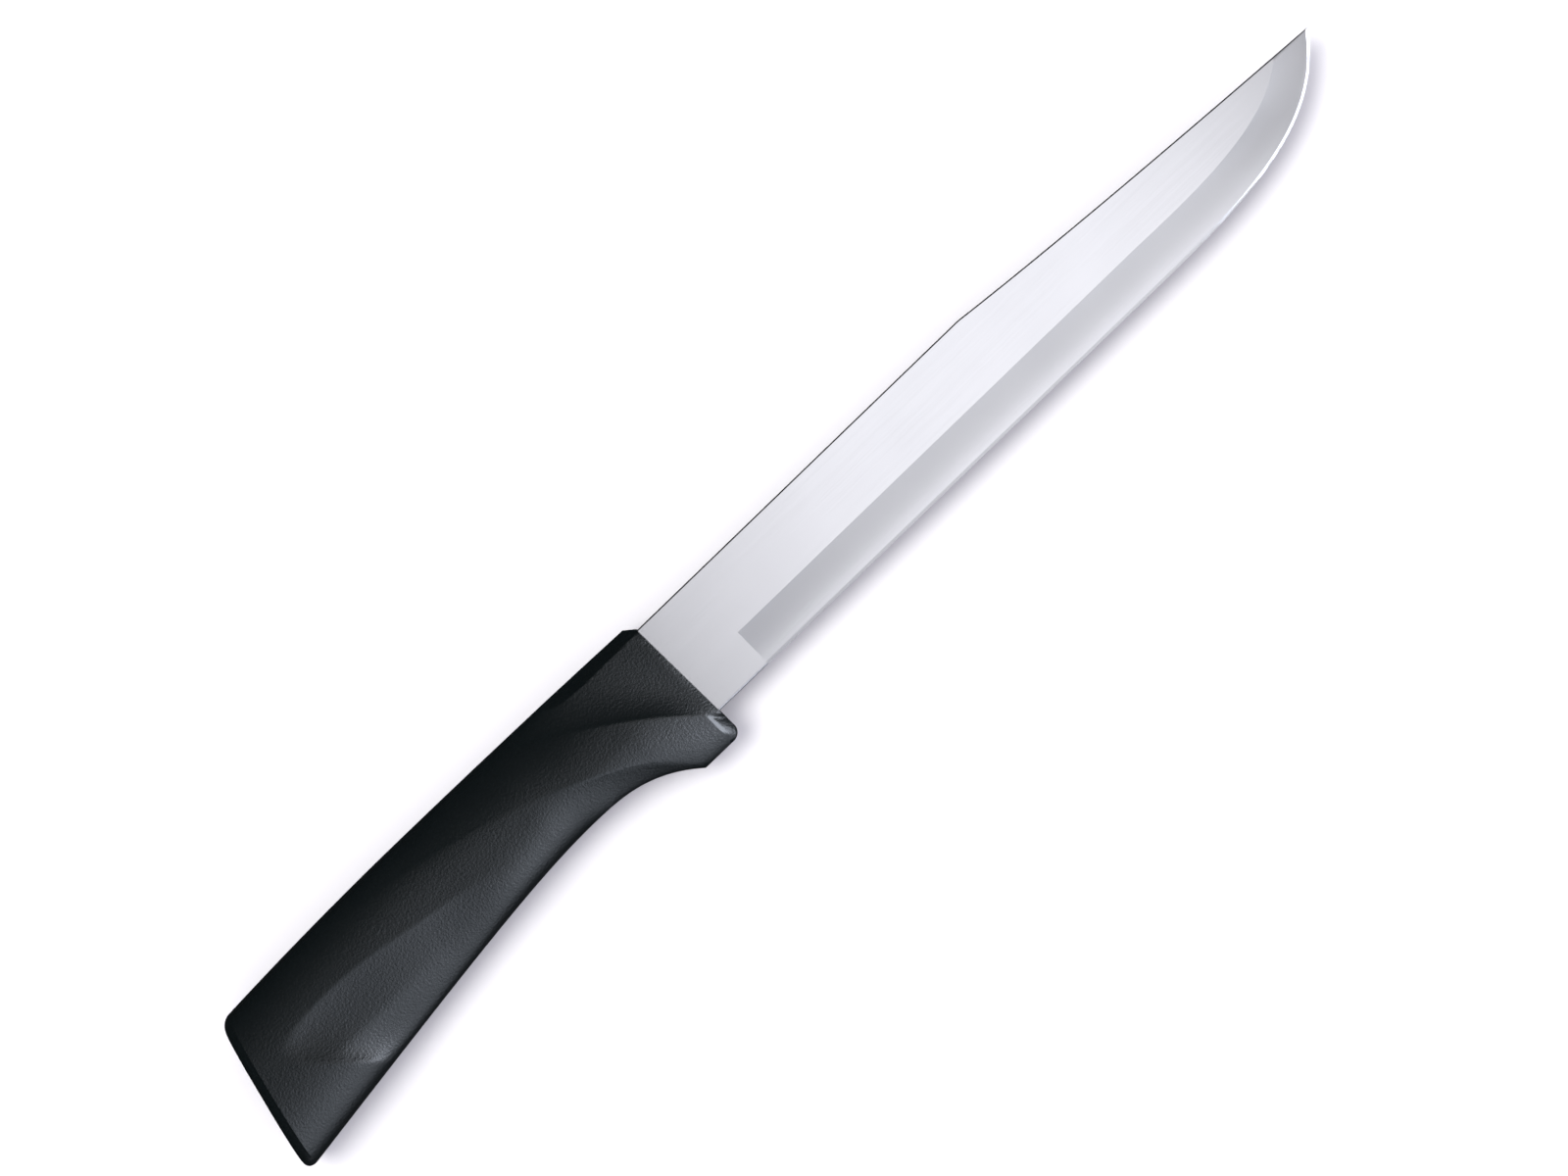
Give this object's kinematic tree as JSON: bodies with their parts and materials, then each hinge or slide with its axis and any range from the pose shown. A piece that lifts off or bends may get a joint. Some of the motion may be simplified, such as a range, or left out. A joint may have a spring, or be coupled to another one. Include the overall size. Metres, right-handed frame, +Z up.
{
  "type": "slicing knife",
  "caption": "Slicing knife: a straight-backed, hollow-ground stainless blade with a dropped point, its tang locked in a sculpted black moulded handle with a finger guard.",
  "frame": {"origin": "under the middle of the knife's box, on the surface that it lies on", "axes": "+X along the blade to the tip, +Y from the cutting edge to the spine, +Z up across the blade, out of the side that the picture shows"},
  "size_m": [0.3084, 0.0356, 0.0196],
  "materials": {
    "blade_steel": "fine satin, ground lengthwise, with a brighter honed edge",
    "handle_resin": "fine moulded grain, black with a cool cast"
  },
  "bodies": {
    "root": {"blade": "blade_steel", "handle": "handle_resin"}
  },
  "joints": []
}
